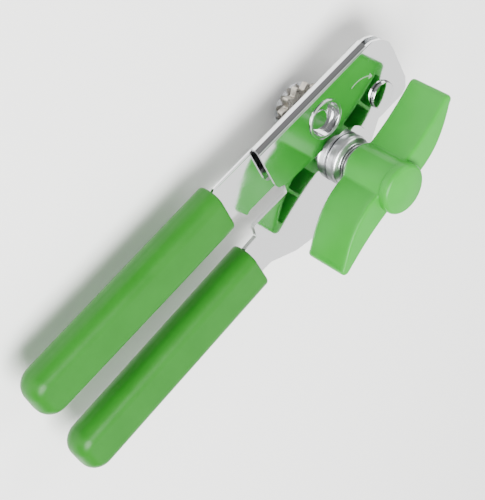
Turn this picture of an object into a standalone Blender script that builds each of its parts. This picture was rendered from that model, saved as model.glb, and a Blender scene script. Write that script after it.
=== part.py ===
"""Manual can opener: two chromed steel handles, a geared cutter and a hand-turned crank knob.

Metres, +Z up. The opener lies on its back: +X runs to the head, +Y to the rolled spine and
+Z up the crank axis. The two handles are closed, which is the rest position of every joint.
"""
import bpy
import bmesh
from math import atan2, cos, pi, radians, sin, tan
from mathutils import Matrix, Vector

MM = 0.001

# ---- fits -------------------------------------------------------------------------------
GAP = 0.3 * MM                  # clearance between neighbouring parts
SEG = 40                        # facets round a large turned part
SEG_SMALL = 24                  # facets round a small turned part

# ---- sheet steel ------------------------------------------------------------------------
SHEET = 1.2 * MM                # folded body thickness
ARM = 2.0 * MM                  # lower handle thickness
ARM_PLAY = 0.4 * MM             # play above and below the lower handle
FOLD_DEPTH = 2 * SHEET + ARM + 2 * ARM_PLAY
ROLL_R = FOLD_DEPTH / 2         # outside radius of the rolled spine
SPINE_Y = 27.0 * MM             # pivot axis to the roll axis
BODY_LEFT = -62.4 * MM          # handle end of the front plate and roll
ROLL_RIGHT = 1.6 * MM           # head end of the roll
HEAD_RIGHT = 14.4 * MM          # head end of the plates
PLATE_LOW = 3.6 * MM            # lower edge of the front plate at its handle end
TAIL_LIP = 1.6 * MM             # tail edge beyond the roll axis
ARM_TOP = -(SHEET + ARM_PLAY)
ARM_BOTTOM = ARM_TOP - ARM
BACK_TOP = -(FOLD_DEPTH - SHEET)
BACK_BOTTOM = -FOLD_DEPTH

# ---- axes, measured from the handle pivot -------------------------------------------------
PIVOT = Vector((0.0, 0.0, 0.0))
CUTTER = Vector((-30.0 * MM, 13.7 * MM, 0.0))
CUP = Vector((-28.7 * MM, 14.3 * MM, 0.0))      # the cup sits a little ahead of its axle
CRANK = Vector((-27.2 * MM, -12.9 * MM, 0.0))
CENTRES = (CUTTER - CRANK).length
BOSS_NOTCH = 14.7 * MM          # plate edge round the crank boss

# ---- pivot ------------------------------------------------------------------------------
PIN_R = 3.0 * MM
RIVET_R = 6.3 * MM
RIVET_TOP = 1.9 * MM
PIVOT_EYE = 9.6 * MM            # rounded end of the lower handle round the pivot

# ---- cutter cup, axle and wheels ----------------------------------------------------------
CUP_R = 8.0 * MM
CUP_WALL = 0.7 * MM
CUP_STEP = 0.6 * MM             # width of the step inside the cup
CUP_RIM = 8.9 * MM
CUP_RIM_TOP = 0.6 * MM
AXLE_R = 2.4 * MM
AXLE_HEAD_R = 4.4 * MM
AXLE_HEAD = 0.4 * MM            # thickness of the axle's flat head
BUSH_WALL = 1.0 * MM
GEAR_TOP = -12.0 * MM
GEAR_THICK = 3.0 * MM
CUTTER_TEETH = 12
DRIVE_TEETH = 17
TOOTH_WAVE = 1.25 * MM          # half the tooth height
BACKLASH = 0.22 * MM            # radial relief on each gear
WHEEL_TOP = GEAR_TOP - GEAR_THICK - GAP
CUTTER_R = 10.8 * MM
CUTTER_THICK = 2.4 * MM
FEED_TEETH = 32
FEED_DEPTH = 0.7 * MM
FEED_THICK = 3.2 * MM
CUTTER_NUT_ACROSS = 8.0 * MM
CUTTER_NUT_THICK = 2.6 * MM
FEED_NUT_ACROSS = 10.0 * MM
FEED_NUT_THICK = 3.0 * MM
BITE = 1.1 * MM                 # gap that nips the can rim
FEED_R = CENTRES - CUTTER_R - BITE

# ---- crank --------------------------------------------------------------------------------
BOSS_R = 11.2 * MM
BOSS_BAND = 3.5 * MM            # height of the straight band
BOSS_TOP_R = 8.6 * MM
BOSS_TOP = 4.4 * MM
REAR_BOSS_R = 7.5 * MM
SHAFT_R = 3.0 * MM
WASHER_R = 8.3 * MM
WASHER_THICK = 0.9 * MM
SPRING_R = 8.0 * MM
SPRING_THICK = 0.8 * MM
COLLAR_R = 7.7 * MM
WASHER_GAP = 0.2 * MM           # between neighbouring washers
KNOB_BOTTOM = 8.2 * MM
HUB_R = 10.9 * MM
HUB_TOP = 29.6 * MM
BLADE_BOTTOM = 8.6 * MM
BLADE_TOP = 29.2 * MM
BLADE_REACH = 41.8 * MM
BLADE_ROOT = 6.3 * MM           # half thickness at the hub
BLADE_TIP = 1.8 * MM            # half thickness at the tip
BLADE_BELLY = 6.0 * MM          # fullness of the outer side
BLADE_HOLLOW = 1.8 * MM         # dip of the inner side
BLADE_TURN = radians(21.7)
KNOB_WALL = 1.4 * MM
BLADE_EDGE = 1.3 * MM
RIB = 1.5 * MM                  # cross rib between a blade's two hollows
RIB_SHARE = 0.555               # its place along the blade
CELL_END = 0.88                 # outer end of the hollows, as a share of the reach
CAP_R = 11.2 * MM
CAP_RISE = 4.6 * MM
CAP_SHOULDER = 1.5 * MM         # rounding of the cap's edge
CAP_CROWN = 1.1 * MM            # rise of the cap's face
CAP_SEAT_R = 8.4 * MM
CAP_SEAT = 5.5 * MM             # depth of the seat in the knob
SCREW_R = 1.5 * MM
SCREW_HEAD_R = 3.4 * MM

# ---- grips --------------------------------------------------------------------------------
GRIP_LEN = 106.0 * MM
GRIP_WIDE = 23.6 * MM
GRIP_THICK = 13.5 * MM
GRIP_ROUND = 4.2 * MM
GRIP_CORNER = 8.5 * MM
GRIP_START = -86.0 * MM
TANG_LEN = 92.0 * MM
TANG_WIDE = 15.0 * MM
UPPER_GRIP_Y = 18.5 * MM        # grip centre line at its near end
UPPER_GRIP_TILT = radians(1.2)
LOWER_GRIP_Y = -18.7 * MM
LOWER_GRIP_TILT = radians(3.0)
NECK = -78.6 * MM               # step from plate to neck

MODEL = None
CUTTERS = None
MATERIALS = {}


# ---- scene and materials ------------------------------------------------------------------
def clear_scene():
    for ob in list(bpy.data.objects):
        bpy.data.objects.remove(ob, do_unlink=True)


def new_collection(name):
    col = bpy.data.collections.new(name)
    bpy.context.scene.collection.children.link(col)
    return col


def material(name, color, roughness, metallic):
    mat = bpy.data.materials.new(name)
    mat.use_nodes = True
    shader = mat.node_tree.nodes["Principled BSDF"]
    shader.inputs["Base Color"].default_value = (*color, 1.0)
    shader.inputs["Roughness"].default_value = roughness
    shader.inputs["Metallic"].default_value = metallic
    MATERIALS[name] = mat


def make_materials():
    material("bright_chrome", (0.80, 0.81, 0.83), 0.08, 1.0)
    material("turned_chrome", (0.72, 0.73, 0.75), 0.22, 1.0)
    material("green_grip", (0.065, 0.26, 0.05), 0.38, 0.0)
    material("green_knob", (0.05, 0.24, 0.05), 0.25, 0.0)
    material("gear_steel", (0.50, 0.50, 0.51), 0.35, 1.0)
    material("cutter_steel", (0.62, 0.63, 0.64), 0.25, 1.0)
    material("fixing_steel", (0.60, 0.61, 0.62), 0.30, 1.0)
    material("sintered_bronze", (0.60, 0.42, 0.20), 0.40, 1.0)


# ---- building blocks ----------------------------------------------------------------------
def add_object(name, mesh, axis, mat=None):
    ob = bpy.data.objects.new(name, mesh)
    ob.location = axis
    if mat is None:
        CUTTERS.objects.link(ob)
        ob.hide_render = True
        ob.display_type = "WIRE"
    else:
        MODEL.objects.link(ob)
        mesh.materials.clear()
        mesh.materials.append(MATERIALS[mat])
    return ob


def curve_mesh(name, loops, bottom, top):
    """Flat closed loops filled (inner loops are holes) and extruded from bottom to top."""
    curve = bpy.data.curves.new(name, "CURVE")
    curve.dimensions = "2D"
    curve.fill_mode = "BOTH"
    curve.extrude = (top - bottom) / 2
    for loop in loops:
        spline = curve.splines.new("POLY")
        spline.points.add(len(loop) - 1)
        for point, (x, y) in zip(spline.points, loop):
            point.co = (x, y, 0.0, 1.0)
        spline.use_cyclic_u = True
    temp = bpy.data.objects.new(name, curve)
    mesh = bpy.data.meshes.new_from_object(temp)
    bpy.data.objects.remove(temp)
    bpy.data.curves.remove(curve)
    mesh.transform(Matrix.Translation((0, 0, (top + bottom) / 2)))
    weld(mesh)
    return mesh


def weld(mesh):
    bm = bmesh.new()
    bm.from_mesh(mesh)
    bmesh.ops.remove_doubles(bm, verts=bm.verts, dist=1e-6)
    bmesh.ops.dissolve_limit(bm, angle_limit=radians(0.5), verts=bm.verts, edges=bm.edges)
    bmesh.ops.recalc_face_normals(bm, faces=bm.faces)
    bm.to_mesh(mesh)
    bm.free()


def plate(name, loops, bottom, top, mat=None, axis=PIVOT):
    return add_object(name, curve_mesh(name, loops, bottom, top), axis, mat)


def turned(name, profile, mat=None, axis=PIVOT, steps=SEG, closed=False):
    """Screw a profile of (radius, height) pairs round the vertical axis."""
    mesh = bpy.data.meshes.new(name)
    verts = [(r, 0.0, z) for r, z in profile]
    edges = [(i, i + 1) for i in range(len(profile) - 1)]
    if closed:
        edges.append((len(profile) - 1, 0))
    mesh.from_pydata(verts, edges, [])
    ob = add_object(name, mesh, axis, mat)
    screw = ob.modifiers.new("turn", "SCREW")
    screw.steps = steps
    screw.render_steps = steps
    screw.use_merge_vertices = True
    screw.merge_threshold = 1e-5
    return ob


def ring(name, inner, outer, bottom, top, mat, axis, edge=0.0, steps=SEG):
    profile = [(inner, top), (outer - edge, top), (outer, top - edge),
               (outer, bottom + edge), (outer - edge, bottom), (inner, bottom)]
    if edge == 0.0:
        profile = [(inner, top), (outer, top), (outer, bottom), (inner, bottom)]
    return turned(name, profile, mat, axis, steps, closed=True)


def boolean(ob, other, operation="DIFFERENCE"):
    mod = ob.modifiers.new(operation.lower(), "BOOLEAN")
    mod.operation = operation
    mod.solver = "EXACT"
    mod.object = other


def bevel(ob, width, segments=2, angle=35.0, clamp=True):
    mod = ob.modifiers.new("round", "BEVEL")
    mod.width = width
    mod.segments = segments
    mod.limit_method = "ANGLE"
    mod.angle_limit = radians(angle)
    mod.use_clamp_overlap = clamp


# ---- plan outlines ------------------------------------------------------------------------
def arc(centre, radius, start, end, steps):
    points = []
    for i in range(steps + 1):
        turn = start + (end - start) * i / steps
        points.append((centre[0] + radius * cos(turn), centre[1] + radius * sin(turn)))
    return points


def circle(centre, radius, steps=SEG):
    return arc(centre, radius, 0.0, 2 * pi * (steps - 1) / steps, steps - 1)


def fillet(corners, steps=4):
    """Closed outline through (x, y, radius) corners, each rounded by its own radius."""
    outline = []
    count = len(corners)
    for i in range(count):
        here = Vector(corners[i][:2])
        radius = corners[i][2]
        if radius == 0:
            outline.append(tuple(here))
            continue
        back = (Vector(corners[i - 1][:2]) - here).normalized()
        ahead = (Vector(corners[(i + 1) % count][:2]) - here).normalized()
        half = back.angle(ahead) / 2
        centre = here + (back + ahead).normalized() * radius / sin(half)
        first = here + back * radius / tan(half) - centre
        last = here + ahead * radius / tan(half) - centre
        start = atan2(first.y, first.x)
        sweep = (atan2(last.y, last.x) - start + pi) % (2 * pi) - pi
        outline += arc(centre, radius, start, start + sweep, steps)
    return outline


def turn_about(point, centre, angle):
    x = point[0] - centre[0]
    y = point[1] - centre[1]
    return (centre[0] + x * cos(angle) - y * sin(angle), centre[1] + x * sin(angle) + y * cos(angle))


# ---- handle A: folded body ----------------------------------------------------------------
def fold_section():
    """The bent sheet seen from its end: front leg, half-round roll and back leg."""
    low = -14.0 * MM - SPINE_Y
    inner_r = ROLL_R - SHEET
    outer = arc((0, 0), ROLL_R, -pi / 2, pi / 2, 14)
    inner = arc((0, 0), inner_r, pi / 2, -pi / 2, 10)
    return [(low, -ROLL_R)] + outer + [(low, ROLL_R), (low, inner_r)] + inner + [(low, -inner_r)]


def tang(centre_y, tilt):
    """Corners of the strip that runs inside a grip, lower near one first."""
    near = GRIP_START - 4.0 * MM
    far = GRIP_START - TANG_LEN
    half = TANG_WIDE / 2
    corners = [(near, centre_y - half), (far, centre_y - half),
               (far, centre_y + half), (near, centre_y + half)]
    return [turn_about(p, (GRIP_START, centre_y), tilt) for p in corners]


def body_outline():
    """Plan of the handle from the tang to the head, with the notch over the crank boss."""
    low_near, low_far, high_far, high_near = tang(UPPER_GRIP_Y, UPPER_GRIP_TILT)
    notch = arc(CRANK, BOSS_NOTCH, radians(70), radians(12), 14)
    tail = SPINE_Y + TAIL_LIP
    over = SPINE_Y + 2 * ROLL_R
    return [
        (ROLL_RIGHT, over), (BODY_LEFT - 0.3 * MM, over), (BODY_LEFT - 0.3 * MM, tail),
        (GRIP_START + 2 * MM, tail), (GRIP_START, tail - 1.6 * MM), high_near, high_far, low_far,
        low_near, (GRIP_START, 8.8 * MM), (NECK - 1.0 * MM, 8.0 * MM), (NECK + 1.6 * MM, 2.6 * MM),
        (NECK + 3.2 * MM, PLATE_LOW + 0.2 * MM), (BODY_LEFT + 4.4 * MM, PLATE_LOW), *notch,
        (-9.0 * MM, -10.0 * MM), (9.5 * MM, -10.0 * MM), (12.6 * MM, -8.4 * MM),
        (HEAD_RIGHT, -3.5 * MM), (13.6 * MM, 14.5 * MM), (13.0 * MM, 19.0 * MM),
        (9.6 * MM, 24.0 * MM), (5.6 * MM, SPINE_Y - 0.4 * MM), (ROLL_RIGHT, SPINE_Y + 0.3 * MM)]


def front_trim_outline():
    """Everything the front plate and the roll do not reach, with the plate's lower corner."""
    far = GRIP_START - 2 * GRIP_LEN
    reach = 60 * MM
    return [(far, -reach), (BODY_LEFT + 5.0 * MM, -reach), (BODY_LEFT + 5.0 * MM, PLATE_LOW - MM),
            (BODY_LEFT + 4.2 * MM, PLATE_LOW + 0.5 * MM), (BODY_LEFT + 1.6 * MM, 5.6 * MM),
            (BODY_LEFT + 0.6 * MM, 8.0 * MM), (BODY_LEFT, SPINE_Y), (BODY_LEFT, reach), (far, reach)]


def make_folded_body():
    mesh = curve_mesh("folded_body", [fold_section()], GRIP_START - GRIP_LEN, HEAD_RIGHT + 2 * MM)
    mesh.transform(Matrix(((0, 0, 1, 0), (1, 0, 0, SPINE_Y), (0, 1, 0, -ROLL_R), (0, 0, 0, 1))))
    body = add_object("folded_body", mesh, PIVOT, "bright_chrome")
    pin_hole = circle(PIVOT, PIN_R + GAP, SEG_SMALL)
    outline = plate("body_outline", [body_outline(), pin_hole], -2 * FOLD_DEPTH, FOLD_DEPTH)
    boolean(body, outline, "INTERSECT")
    boolean(body, plate("front_trim", [front_trim_outline()], BACK_TOP + 0.1 * MM, FOLD_DEPTH))
    cup_hole = circle(PIVOT, CUP_R + GAP)
    boolean(body, plate("cup_hole", [cup_hole], -ROLL_R, FOLD_DEPTH, None, CUP))
    hole = circle(PIVOT, AXLE_R + GAP, SEG_SMALL)
    boolean(body, plate("back_hole", [hole], -2 * FOLD_DEPTH, -ROLL_R, None, CUTTER))
    bevel(body, 0.25 * MM, 1, 60)
    return body


# ---- handle B: flat arm -------------------------------------------------------------------
def arm_outline():
    low_near, low_far, high_far, high_near = tang(LOWER_GRIP_Y, LOWER_GRIP_TILT)
    eye = arc(PIVOT, PIVOT_EYE, radians(-100), radians(105), 20)
    corners = [(*high_near, 0), (*high_far, 0), (*low_far, 0), (*low_near, 0),
               (GRIP_START, -26.0 * MM, 1 * MM), (NECK, -26.0 * MM, 3 * MM),
               (-66.0 * MM, -33.0 * MM, 9 * MM), (-52.0 * MM, -36.5 * MM, 8 * MM),
               (-30.0 * MM, -29.0 * MM, 12 * MM), (-14.0 * MM, -21.0 * MM, 8 * MM)]
    corners += [(x, y, 0) for x, y in eye]
    corners += [(-12.0 * MM, 3.6 * MM, 3 * MM), (-57.4 * MM, 3.2 * MM, 2 * MM),
                (-57.8 * MM, -2.4 * MM, 1.2 * MM), (NECK + 0.6 * MM, -2.0 * MM, 1.2 * MM),
                (NECK - 0.4 * MM, -7.8 * MM, 1.2 * MM), (GRIP_START, -8.4 * MM, 1 * MM)]
    return fillet(corners)


def make_arm():
    pin_hole = circle(PIVOT, PIN_R + GAP, SEG_SMALL)
    shaft_hole = circle(CRANK, SHAFT_R + 2 * GAP + BUSH_WALL, SEG_SMALL)
    arm = plate("lower_handle_plate", [arm_outline(), pin_hole, shaft_hole],
                ARM_BOTTOM, ARM_TOP, "bright_chrome")
    bevel(arm, 0.3 * MM, 1, 60)
    return arm


# ---- grips --------------------------------------------------------------------------------
def make_grip(name, centre_y, centre_z, tilt, metal):
    half = GRIP_WIDE / 2
    rear = GRIP_START - GRIP_LEN
    front = GRIP_START + 10 * MM
    corners = [(front, centre_y - half, 0), (front, centre_y + half, 0),
               (rear, centre_y + half, GRIP_CORNER), (rear, centre_y - half, GRIP_CORNER)]
    outline = [turn_about(p, (GRIP_START, centre_y), tilt) for p in fillet(corners, 7)]
    bottom = centre_z - GRIP_THICK / 2
    grip = plate(name, [outline], bottom, bottom + GRIP_THICK, "green_grip")
    bevel(grip, GRIP_ROUND, 5, clamp=False)
    boolean(grip, make_trim(name, centre_y, tilt))
    bevel(grip, 0.9 * MM, 2)
    boolean(grip, make_pocket(name, centre_y, centre_z, tilt, metal))
    return grip


def make_trim(name, centre_y, tilt):
    """Squares off the near end of a grip."""
    far = 30 * MM
    box = [(GRIP_START, centre_y - far), (GRIP_START + far, centre_y - far),
           (GRIP_START + far, centre_y + far), (GRIP_START, centre_y + far)]
    loop = [turn_about(p, (GRIP_START, centre_y), tilt) for p in box]
    return plate(name + "_trim", [loop], -far, far)


def make_pocket(name, centre_y, centre_z, tilt, metal):
    """Slot that takes the tang, open at the near end; its mouth also takes the neck."""
    half = TANG_WIDE / 2 + GAP
    neck = GRIP_WIDE / 2 - 0.6 * MM
    rear = GRIP_START - TANG_LEN - GAP
    mouth = GRIP_START - 4.5 * MM
    box = [(rear, centre_y - half), (mouth, centre_y - half), (mouth, centre_y - neck),
           (GRIP_START + 5 * MM, centre_y - neck), (GRIP_START + 5 * MM, centre_y + neck),
           (mouth, centre_y + neck), (mouth, centre_y + half), (rear, centre_y + half)]
    loop = [turn_about(p, (GRIP_START, centre_y), tilt) for p in box]
    depth = metal / 2 + GAP
    return plate(name + "_pocket", [loop], centre_z - depth, centre_z + depth)


# ---- pivot --------------------------------------------------------------------------------
def make_pivot():
    tail = BACK_BOTTOM - 2 * GAP - 0.8 * MM
    upset_r = RIVET_R - 0.9 * MM
    upset = tail - 1.5 * MM
    turned("pivot_rivet", [
        (0.0, RIVET_TOP), (RIVET_R / 2, RIVET_TOP - 0.1 * MM), (RIVET_R - 0.5 * MM, RIVET_TOP - 0.4 * MM),
        (RIVET_R - 0.15 * MM, RIVET_TOP - 0.7 * MM),
        (RIVET_R, GAP), (PIN_R, GAP), (PIN_R, tail), (upset_r, tail),
        (upset_r - 0.4 * MM, upset + 0.3 * MM), (upset_r - 1.2 * MM, upset), (0.0, upset),
    ], "turned_chrome")
    ring("pivot_washer", PIN_R + GAP, RIVET_R + 0.4 * MM, tail + GAP, BACK_BOTTOM - GAP,
         "fixing_steel", PIVOT, 0.15 * MM)


# ---- cutter assembly ------------------------------------------------------------------------
def cup_floor():
    return BACK_TOP + GAP


def make_cup_and_axle():
    floor = cup_floor()
    inner = CUP_R - CUP_WALL
    step = inner - CUP_STEP
    ledge = floor + 1.6 * MM
    cup = turned("cutter_cup", [
        (0.0, floor + CUP_WALL), (step, floor + CUP_WALL), (step, ledge), (inner, ledge + 0.3 * MM),
        (inner, CUP_RIM_TOP - 0.2 * MM), (inner + 0.2 * MM, CUP_RIM_TOP),
        (CUP_RIM - 0.2 * MM, CUP_RIM_TOP), (CUP_RIM, CUP_RIM_TOP - 0.15 * MM), (CUP_RIM, GAP),
        (CUP_R, GAP), (CUP_R, floor), (0.0, floor),
    ], "bright_chrome", CUP)
    hole = circle(PIVOT, AXLE_R + GAP, SEG_SMALL)
    boolean(cup, plate("axle_hole", [hole], -2 * FOLD_DEPTH, FOLD_DEPTH, None, CUTTER))
    seat = floor + CUP_WALL + GAP
    end = nut_bottom() - 1.0 * MM
    turned("cutter_axle", [
        (0.0, seat + AXLE_HEAD), (AXLE_HEAD_R - 0.2 * MM, seat + AXLE_HEAD),
        (AXLE_HEAD_R, seat + AXLE_HEAD / 2), (AXLE_HEAD_R, seat), (AXLE_R, seat),
        (AXLE_R, end + 0.4 * MM), (AXLE_R - 0.4 * MM, end), (0.0, end),
    ], "turned_chrome", CUTTER, SEG_SMALL)
    ring("cutter_spacer", AXLE_R + GAP, 6.0 * MM, GEAR_TOP + 2 * GAP + 0.8 * MM, BACK_BOTTOM - GAP,
         "fixing_steel", CUTTER, 0.4 * MM, SEG_SMALL)
    ring("cutter_washer", AXLE_R + GAP, 7.0 * MM, GEAR_TOP + GAP, GEAR_TOP + GAP + 0.8 * MM,
         "fixing_steel", CUTTER, 0.15 * MM)


def nut_top():
    return WHEEL_TOP - CUTTER_THICK - 2 * GAP


def nut_bottom():
    return nut_top() - CUTTER_NUT_THICK


def hex_nut(name, hole, across, bottom, top, axis):
    corner = across / 2 / cos(pi / 6)
    points = [(corner * cos(pi * i / 3), corner * sin(pi * i / 3)) for i in range(6)]
    nut = plate(name, [points, circle(PIVOT, hole, SEG_SMALL)], bottom, top, "fixing_steel", axis)
    crown = turned(name + "_crown", [
        (0.0, top + GAP), (across / 2, top + GAP), (corner + GAP, top - 0.9 * MM),
        (corner + GAP, bottom + 0.9 * MM), (across / 2, bottom - GAP), (0.0, bottom - GAP),
    ], None, axis)
    boolean(nut, crown, "INTERSECT")
    return nut


def gear_loop(teeth, phase, steps=8):
    """Wavy tooth outline: one cosine wave per tooth about the pitch circle."""
    pitch = CENTRES * teeth / (CUTTER_TEETH + DRIVE_TEETH) - BACKLASH
    loop = []
    for i in range(teeth * steps):
        turn = 2 * pi * i / (teeth * steps)
        radius = pitch + TOOTH_WAVE * cos(teeth * (turn - phase))
        loop.append((radius * cos(turn), radius * sin(turn)))
    return loop


def mesh_phases():
    """A tooth of the drive gear points along the centre line into a space of the cutter gear."""
    line = CUTTER - CRANK
    towards = atan2(line.y, line.x)
    return towards, towards + pi + pi / CUTTER_TEETH


def make_gear(name, axis, teeth, phase, hole):
    loops = [gear_loop(teeth, phase), circle(PIVOT, hole, SEG_SMALL)]
    gear = plate(name, loops, GEAR_TOP - GEAR_THICK, GEAR_TOP, "gear_steel", axis)
    bevel(gear, 0.2 * MM, 1, 60)
    return gear


def make_cutter_wheel():
    hole = AXLE_R + 2 * GAP + BUSH_WALL
    base = WHEEL_TOP - CUTTER_THICK
    turned("cutter_wheel", [
        (hole, WHEEL_TOP), (CUTTER_R - 3.0 * MM, WHEEL_TOP), (CUTTER_R - 2.6 * MM, WHEEL_TOP - 0.4 * MM),
        (CUTTER_R, base + 0.5 * MM), (CUTTER_R - 0.2 * MM, base + 0.1 * MM), (CUTTER_R - 0.6 * MM, base),
        (hole, base),
    ], "cutter_steel", CUTTER, 48, closed=True)
    sleeve_r = AXLE_R + GAP
    ring("cutter_bush", sleeve_r, sleeve_r + BUSH_WALL - GAP, base + 0.1 * MM, GEAR_TOP - 0.1 * MM,
         "sintered_bronze", CUTTER, 0.0, SEG_SMALL)


def feed_loop():
    """Saw-edged wheel: one sloped tooth per step."""
    loop = []
    for i in range(FEED_TEETH):
        turn = 2 * pi * i / FEED_TEETH
        for part, radius in ((0.0, FEED_R), (0.30, FEED_R), (0.62, FEED_R - FEED_DEPTH)):
            angle = turn + 2 * pi * part / FEED_TEETH
            loop.append((radius * cos(angle), radius * sin(angle)))
    return loop


def make_feed_wheel():
    base = WHEEL_TOP - FEED_THICK
    feed = plate("feed_wheel", [feed_loop(), circle(PIVOT, SHAFT_R + GAP, SEG_SMALL)],
                 base, WHEEL_TOP, "cutter_steel", CRANK)
    bevel(feed, 0.15 * MM, 1, 50)
    hex_nut("feed_nut", SHAFT_R + GAP, FEED_NUT_ACROSS, base - GAP - FEED_NUT_THICK, base - GAP, CRANK)


# ---- crank assembly -------------------------------------------------------------------------
def make_bearing():
    bore = SHAFT_R + 2 * GAP + BUSH_WALL
    base = ARM_TOP + GAP
    band = base + BOSS_BAND
    turned("crank_bearing", [
        (bore, BOSS_TOP), (BOSS_TOP_R, BOSS_TOP), (BOSS_TOP_R + 0.3 * MM, BOSS_TOP - 0.3 * MM),
        (BOSS_R - 1.5 * MM, band + 1.6 * MM), (BOSS_R - 0.5 * MM, band + 0.9 * MM), (BOSS_R, band),
        (BOSS_R, base + 0.3 * MM), (BOSS_R - 0.3 * MM, base), (bore, base),
    ], "turned_chrome", CRANK, 48, closed=True)
    ring("rear_bearing", bore, REAR_BOSS_R, GEAR_TOP + 2 * GAP, ARM_BOTTOM - GAP, "fixing_steel",
         CRANK, 0.5 * MM)
    ring("crank_bush", SHAFT_R + GAP, SHAFT_R + GAP + BUSH_WALL - 0.05 * MM, GEAR_TOP + 2 * GAP,
         BOSS_TOP, "sintered_bronze", CRANK, 0.0, SEG_SMALL)


def make_crank_washers():
    low = BOSS_TOP + GAP
    ring("thrust_washer", SHAFT_R + GAP, WASHER_R, low, low + WASHER_THICK, "fixing_steel",
         CRANK, 0.15 * MM)
    low += WASHER_THICK + WASHER_GAP
    ring("spring_washer", SHAFT_R + GAP, SPRING_R, low, low + SPRING_THICK, "fixing_steel",
         CRANK, 0.15 * MM)
    low += SPRING_THICK + WASHER_GAP
    ring("collar_washer", SHAFT_R + GAP, COLLAR_R, low, KNOB_BOTTOM - GAP, "fixing_steel",
         CRANK, 0.15 * MM)


def shaft_top():
    return HUB_TOP - CAP_SEAT - 4.0 * MM


def make_shaft():
    end = WHEEL_TOP - FEED_THICK - GAP - FEED_NUT_THICK - MM
    tap = SCREW_R + GAP
    turned("crank_shaft", [
        (0.0, BLADE_BOTTOM), (tap, BLADE_BOTTOM), (tap, shaft_top()), (SHAFT_R - 0.4 * MM, shaft_top()),
        (SHAFT_R, shaft_top() - 0.4 * MM), (SHAFT_R, end + 0.5 * MM), (SHAFT_R - 0.5 * MM, end),
        (0.0, end),
    ], "turned_chrome", CRANK, SEG_SMALL)
    seat = HUB_TOP - CAP_SEAT + 0.1 * MM
    turned("knob_screw", [
        (0.0, seat + 1.6 * MM), (SCREW_HEAD_R - 1.0 * MM, seat + 1.6 * MM), (SCREW_HEAD_R, seat + 0.7 * MM),
        (SCREW_HEAD_R, seat), (SCREW_R, seat), (SCREW_R, BLADE_BOTTOM + 2 * MM), (0.0, BLADE_BOTTOM + 2 * MM),
    ], "fixing_steel", CRANK, SEG_SMALL)


def blade_side(along, side):
    """Side of a blade at a distance from the axis: +1 the hollow side, -1 the full side."""
    u = along / BLADE_REACH
    base = BLADE_ROOT + (BLADE_TIP - BLADE_ROOT) * u
    if side > 0:
        return base - BLADE_HOLLOW * sin(pi * u)
    return -(base + BLADE_BELLY * sin(pi * u))


def blade_loop():
    reach = BLADE_REACH - BLADE_TIP
    count = 12
    runs = [reach * i / count for i in range(count + 1)]
    loop = [(x, blade_side(x, -1)) for x in runs]
    tip_low = blade_side(reach, -1)
    tip_high = blade_side(reach, 1)
    middle = (tip_low + tip_high) / 2
    radius = (tip_high - tip_low) / 2
    loop += arc((reach, middle), radius, -pi / 2, pi / 2, 8)[1:-1]
    loop += [(x, blade_side(x, 1)) for x in reversed(runs)]
    return loop


def blade_cell(start, end):
    """One hollow between two cross ribs, a wall thickness inside the blade."""
    count = 5
    runs = [start + (end - start) * i / count for i in range(count + 1)]
    low = [(x, blade_side(x, -1) + KNOB_WALL) for x in runs]
    high = [(x, blade_side(x, 1) - KNOB_WALL) for x in reversed(runs)]
    return low + high


def turned_loop(loop, angle):
    return [turn_about(p, (0, 0), angle) for p in loop]


def blade_cells():
    """Start and end of each hollow along a blade."""
    rib = BLADE_REACH * RIB_SHARE
    return ((HUB_R + MM, rib - RIB / 2), (rib + RIB / 2, BLADE_REACH * CELL_END))


def make_knob():
    knob = turned("knob", [
        (0.0, HUB_TOP), (HUB_R - 0.6 * MM, HUB_TOP), (HUB_R, HUB_TOP - 0.6 * MM),
        (HUB_R, KNOB_BOTTOM + 0.8 * MM), (HUB_R - 0.8 * MM, KNOB_BOTTOM), (0.0, KNOB_BOTTOM),
    ], "green_knob", CRANK, 48)
    for turn in (BLADE_TURN, BLADE_TURN + pi):
        blade = plate("blade", [turned_loop(blade_loop(), turn)], BLADE_BOTTOM, BLADE_TOP, None, CRANK)
        bevel(blade, BLADE_EDGE, 3, clamp=False)
        boolean(knob, blade, "UNION")
    for turn in (BLADE_TURN, BLADE_TURN + pi):
        for start, end in blade_cells():
            cell = plate("cell", [turned_loop(blade_cell(start, end), turn)],
                         BLADE_BOTTOM - MM, BLADE_TOP - KNOB_WALL, None, CRANK)
            boolean(knob, cell)
    boolean(knob, turned("knob_bore", [
        (0.0, HUB_TOP + MM), (CAP_SEAT_R, HUB_TOP + MM), (CAP_SEAT_R, HUB_TOP - CAP_SEAT),
        (SCREW_R + GAP, HUB_TOP - CAP_SEAT), (SCREW_R + GAP, shaft_top() + GAP),
        (SHAFT_R + GAP, shaft_top() + GAP), (SHAFT_R + GAP, KNOB_BOTTOM - MM), (0.0, KNOB_BOTTOM - MM),
    ], None, CRANK))
    return knob


def make_cap():
    rim = HUB_TOP + GAP
    face = CAP_R - CAP_SHOULDER
    edge = rim + CAP_RISE - CAP_CROWN
    dome = [(face * i / 4, edge + CAP_CROWN * (1 - (i / 4) ** 2)) for i in range(4)]
    dome += arc((face, edge - CAP_SHOULDER), CAP_SHOULDER, pi / 2, 0.0, 4)
    plug = CAP_SEAT_R - GAP
    low = HUB_TOP - CAP_SEAT + 2.4 * MM
    wall = plug - 1.6 * MM
    turned("knob_cap", dome + [
        (CAP_R, rim + 0.2 * MM), (CAP_R - 0.2 * MM, rim), (plug, rim), (plug, low), (wall, low),
        (wall, rim), (0.0, rim),
    ], "green_knob", CRANK, 48)


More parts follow.
